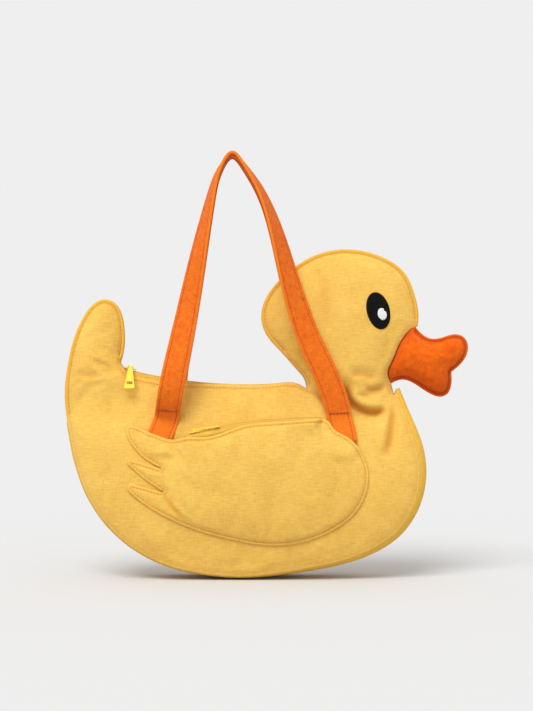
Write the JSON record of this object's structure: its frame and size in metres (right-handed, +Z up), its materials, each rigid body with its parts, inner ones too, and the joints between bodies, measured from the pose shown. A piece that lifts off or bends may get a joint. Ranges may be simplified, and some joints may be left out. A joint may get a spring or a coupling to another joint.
{
  "type": "handbag",
  "caption": "Duck-shaped soft canvas handbag with a stuffed tail, a nodding stuffed head, a zipped pocket under the wing, a zip along the back and two webbing handles.",
  "frame": {"origin": "centre of the flat base, where the bag stands", "axes": "+Z up; +X towards the beak; -Y is the front, with the wing pocket"},
  "size_m": [0.4029, 0.0813, 0.4217],
  "materials": {
    "yellow_canvas": "matt cotton canvas",
    "gusset_canvas": "matt cotton canvas",
    "orange_felt": "soft felt",
    "black_felt": "soft felt",
    "white_felt": "soft felt",
    "fibre": "loose fibre",
    "lining_cotton": "plain cotton",
    "zip_coil": "satin",
    "zip_tape": "woven tape",
    "yellow_metal": "gloss paint",
    "orange_webbing": "cotton webbing"
  },
  "bodies": {
    "bag": {"front_body_panel": "yellow_canvas", "back_body_panel": "yellow_canvas", "base_gusset": "gusset_canvas", "tail_filling": "fibre", "front_lining": "lining_cotton", "back_lining": "lining_cotton", "front_wing": "yellow_canvas", "back_wing": "yellow_canvas", "pocket_lining": "lining_cotton", "main_zip_chain": "zip_coil", "main_zip_stops": "zip_coil", "main_zip_front_tape": "zip_tape", "main_zip_back_tape": "zip_tape", "pocket_zip_chain": "zip_coil", "pocket_zip_stops": "zip_coil", "pocket_zip_lower_tape": "zip_tape", "pocket_zip_upper_tape": "zip_tape", "front_handle_ends": "orange_webbing", "back_handle_ends": "orange_webbing"},
    "head": {"front_head_cover": "yellow_canvas", "back_head_cover": "yellow_canvas", "head_filling": "fibre", "front_beak_cover": "orange_felt", "back_beak_cover": "orange_felt", "beak_filling": "fibre", "front_eye_patch": "black_felt", "back_eye_patch": "black_felt", "front_eye_glint": "white_felt", "back_eye_glint": "white_felt"},
    "front_handle_loop": {"front_handle": "orange_webbing"},
    "back_handle_loop": {"back_handle": "orange_webbing"},
    "main_slider": {"main_zip_slider": "yellow_metal"},
    "main_pull": {"main_zip_pull": "yellow_metal"},
    "pocket_slider": {"pocket_zip_slider": "yellow_metal"},
    "pocket_pull": {"pocket_zip_pull": "yellow_metal"}
  },
  "joints": [
    {"name": "head_nod", "type": "hinge", "parent": "bag", "child": "head", "pos_m": [0.112, 0, 0.227], "axis": [0, 1, 0], "range_deg": [-10, 6], "stiffness_Nm_per_rad": 1.5},
    {"name": "front_handle_fold", "type": "hinge", "parent": "bag", "child": "front_handle_loop", "pos_m": [0, -0.0291, 0.1665], "axis": [1, 0, 0], "range_deg": [0, 110]},
    {"name": "back_handle_fold", "type": "hinge", "parent": "bag", "child": "back_handle_loop", "pos_m": [0, 0.0291, 0.1665], "axis": [-1, 0, 0], "range_deg": [0, 110]},
    {"name": "main_slider_travel", "type": "hinge", "parent": "bag", "child": "main_slider", "pos_m": [0.00738, 0, 0.67728], "axis": [0, -1, 0], "range_deg": [0, 18]},
    {"name": "main_pull_swing", "type": "hinge", "parent": "main_slider", "child": "main_pull", "pos_m": [-0.10894, -0.0052, 0.21064], "axis": [-1, 0, 0], "range_deg": [0, 165]},
    {"name": "pocket_slider_travel", "type": "hinge", "parent": "bag", "child": "pocket_slider", "pos_m": [0.07522, -0.0326, -0.35276], "axis": [0, 1, 0], "range_deg": [0, 11.3]},
    {"name": "pocket_pull_flip", "type": "hinge", "parent": "pocket_slider", "child": "pocket_pull", "pos_m": [-0.04452, -0.0326, 0.14899], "axis": [0, -1, 0], "range_deg": [0, 100]}
  ]
}
